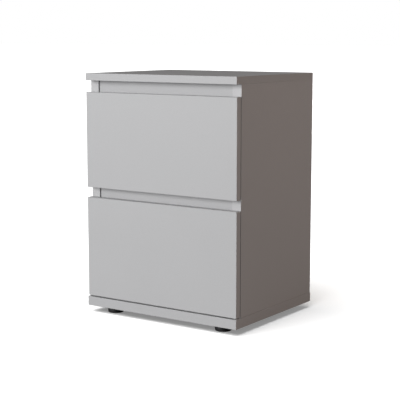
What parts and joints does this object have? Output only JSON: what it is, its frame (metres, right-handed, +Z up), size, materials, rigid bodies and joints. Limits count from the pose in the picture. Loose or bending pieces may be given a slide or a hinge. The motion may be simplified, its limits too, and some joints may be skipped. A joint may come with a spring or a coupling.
{
  "type": "nightstand",
  "caption": "Narrow nightstand with handle-less drawers pulled by the gap above each full-width front, on roller runners, with low round feet.",
  "frame": {"origin": "on the floor, under the middle of the base panel", "axes": "+Z up; the drawers open towards -Y; +X to the right of someone facing them"},
  "size_m": [0.402, 0.3204, 0.544],
  "materials": {
    "carcass_laminate": "matt light grey laminate on chipboard",
    "front_laminate": "matt light grey laminate on chipboard",
    "box_laminate": "matt grey-white foil on chipboard",
    "hardboard": "painted face of thin hardboard",
    "foot_plastic": "moulded black",
    "runner_steel": "white epoxy powder coat",
    "roller_plastic": "moulded, waxy",
    "cam_zinc": "die-cast zinc",
    "dowel_wood": "fluted beech",
    "fastener_steel": "bright zinc plate"
  },
  "bodies": {
    "cabinet": {"top_panel": "carcass_laminate", "base_panel": "carcass_laminate", "side_panel_left": "carcass_laminate", "side_panel_right": "carcass_laminate", "back_panel": "hardboard", "upper_rail": "carcass_laminate", "middle_rail": "carcass_laminate", "foot_front_left": "foot_plastic", "foot_front_right": "foot_plastic", "foot_back_left": "foot_plastic", "foot_back_right": "foot_plastic", "upper_channel_left": "runner_steel", "upper_channel_right": "runner_steel", "lower_channel_left": "runner_steel", "lower_channel_right": "runner_steel", "back_nails": "fastener_steel", "foot_screws": "fastener_steel", "cabinet_cam_locks": "cam_zinc", "cabinet_cam_bolts": "fastener_steel", "cabinet_dowels": "dowel_wood", "base_screws": "fastener_steel", "channel_roller_pins": "fastener_steel", "channel_screws": "fastener_steel"},
    "upper_drawer": {"upper_drawer_front": "front_laminate", "upper_box_side_left": "box_laminate", "upper_box_side_right": "box_laminate", "upper_box_back": "box_laminate", "upper_drawer_bottom": "hardboard", "upper_drawer_runner_left": "runner_steel", "upper_drawer_runner_right": "runner_steel", "upper_drawer_roller_pins": "fastener_steel", "upper_drawer_cam_locks": "cam_zinc", "upper_drawer_cam_bolts": "fastener_steel", "upper_drawer_dowels": "dowel_wood", "upper_drawer_box_screws": "fastener_steel", "upper_drawer_runner_screws": "fastener_steel", "upper_drawer_bottom_nails": "fastener_steel"},
    "upper_channel_roller_left": {"upper_channel_roller_left": "roller_plastic"},
    "upper_drawer_roller_left": {"upper_drawer_roller_left": "roller_plastic"},
    "upper_channel_roller_right": {"upper_channel_roller_right": "roller_plastic"},
    "upper_drawer_roller_right": {"upper_drawer_roller_right": "roller_plastic"},
    "lower_drawer": {"lower_drawer_front": "front_laminate", "lower_box_side_left": "box_laminate", "lower_box_side_right": "box_laminate", "lower_box_back": "box_laminate", "lower_drawer_bottom": "hardboard", "lower_drawer_runner_left": "runner_steel", "lower_drawer_runner_right": "runner_steel", "lower_drawer_roller_pins": "fastener_steel", "lower_drawer_cam_locks": "cam_zinc", "lower_drawer_cam_bolts": "fastener_steel", "lower_drawer_dowels": "dowel_wood", "lower_drawer_box_screws": "fastener_steel", "lower_drawer_runner_screws": "fastener_steel", "lower_drawer_bottom_nails": "fastener_steel"},
    "lower_channel_roller_left": {"lower_channel_roller_left": "roller_plastic"},
    "lower_drawer_roller_left": {"lower_drawer_roller_left": "roller_plastic"},
    "lower_channel_roller_right": {"lower_channel_roller_right": "roller_plastic"},
    "lower_drawer_roller_right": {"lower_drawer_roller_right": "roller_plastic"}
  },
  "joints": [
    {"name": "upper_drawer_slide", "type": "slide", "parent": "cabinet", "child": "upper_drawer", "axis": [0, -1, 0], "range_m": [0, 0.19]},
    {"name": "upper_channel_roller_left_spin", "type": "hinge", "parent": "cabinet", "child": "upper_channel_roller_left", "pos_m": [-0.1728, -0.12635, 0.311], "axis": [1, 0, 0], "range_deg": [0, 1460]},
    {"name": "upper_drawer_roller_left_spin", "type": "hinge", "parent": "upper_drawer", "child": "upper_drawer_roller_left", "pos_m": [-0.1703, 0.09465, 0.311], "axis": [1, 0, 0], "range_deg": [0, 1460]},
    {"name": "upper_channel_roller_right_spin", "type": "hinge", "parent": "cabinet", "child": "upper_channel_roller_right", "pos_m": [0.1728, -0.12635, 0.311], "axis": [1, 0, 0], "range_deg": [0, 1460]},
    {"name": "upper_drawer_roller_right_spin", "type": "hinge", "parent": "upper_drawer", "child": "upper_drawer_roller_right", "pos_m": [0.1703, 0.09465, 0.311], "axis": [1, 0, 0], "range_deg": [0, 1460]},
    {"name": "lower_drawer_slide", "type": "slide", "parent": "cabinet", "child": "lower_drawer", "axis": [0, -1, 0], "range_m": [0, 0.19]},
    {"name": "lower_channel_roller_left_spin", "type": "hinge", "parent": "cabinet", "child": "lower_channel_roller_left", "pos_m": [-0.1728, -0.12635, 0.0615], "axis": [1, 0, 0], "range_deg": [0, 1460]},
    {"name": "lower_drawer_roller_left_spin", "type": "hinge", "parent": "lower_drawer", "child": "lower_drawer_roller_left", "pos_m": [-0.1703, 0.09465, 0.0615], "axis": [1, 0, 0], "range_deg": [0, 1460]},
    {"name": "lower_channel_roller_right_spin", "type": "hinge", "parent": "cabinet", "child": "lower_channel_roller_right", "pos_m": [0.1728, -0.12635, 0.0615], "axis": [1, 0, 0], "range_deg": [0, 1460]},
    {"name": "lower_drawer_roller_right_spin", "type": "hinge", "parent": "lower_drawer", "child": "lower_drawer_roller_right", "pos_m": [0.1703, 0.09465, 0.0615], "axis": [1, 0, 0], "range_deg": [0, 1460]}
  ],
  "couplings": [
    {"joint": "upper_channel_roller_left_spin", "follows": "upper_drawer_slide", "rad_per_m": 133.33},
    {"joint": "upper_drawer_roller_left_spin", "follows": "upper_drawer_slide", "rad_per_m": 133.33},
    {"joint": "upper_channel_roller_right_spin", "follows": "upper_drawer_slide", "rad_per_m": 133.33},
    {"joint": "upper_drawer_roller_right_spin", "follows": "upper_drawer_slide", "rad_per_m": 133.33},
    {"joint": "lower_channel_roller_left_spin", "follows": "lower_drawer_slide", "rad_per_m": 133.33},
    {"joint": "lower_drawer_roller_left_spin", "follows": "lower_drawer_slide", "rad_per_m": 133.33},
    {"joint": "lower_channel_roller_right_spin", "follows": "lower_drawer_slide", "rad_per_m": 133.33},
    {"joint": "lower_drawer_roller_right_spin", "follows": "lower_drawer_slide", "rad_per_m": 133.33}
  ]
}
